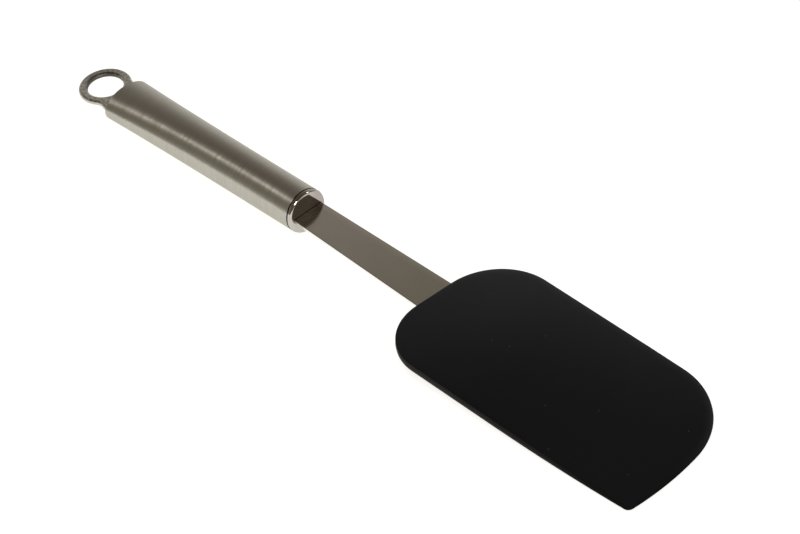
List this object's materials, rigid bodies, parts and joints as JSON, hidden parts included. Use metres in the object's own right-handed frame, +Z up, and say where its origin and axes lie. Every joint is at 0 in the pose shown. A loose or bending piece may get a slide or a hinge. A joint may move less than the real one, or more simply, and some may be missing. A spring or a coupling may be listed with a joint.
{
  "type": "silicone spatula",
  "caption": "Silicone kitchen spatula: round steel handle with a hanging loop, flat steel shank, and a wide flexible black blade with three round corners and one sharp corner.",
  "frame": {"origin": "on the table that the tool lies on, below the middle of its whole length", "axes": "+X along the tool from the hanging loop to the blade's tip, +Y across it, away from the sharp corner, +Z up from the table"},
  "size_m": [0.3304, 0.0636, 0.018],
  "materials": {
    "handle_steel": "fine brushed stainless steel",
    "cap_steel": "mirror polished stainless steel",
    "loop_steel": "satin stainless steel with softened edges",
    "shank_steel": "satin stainless steel",
    "plain_steel": "plain sheet steel, hidden",
    "silicone": "matte black silicone"
  },
  "bodies": {
    "root": {"handle_tube": "handle_steel", "front_cap": "cap_steel", "rear_cap": "handle_steel", "tang_collar": "plain_steel", "hanging_loop": "loop_steel", "shank": "shank_steel", "blade_core": "plain_steel", "core_rivets": "plain_steel", "blade_skin": "silicone"}
  },
  "joints": []
}
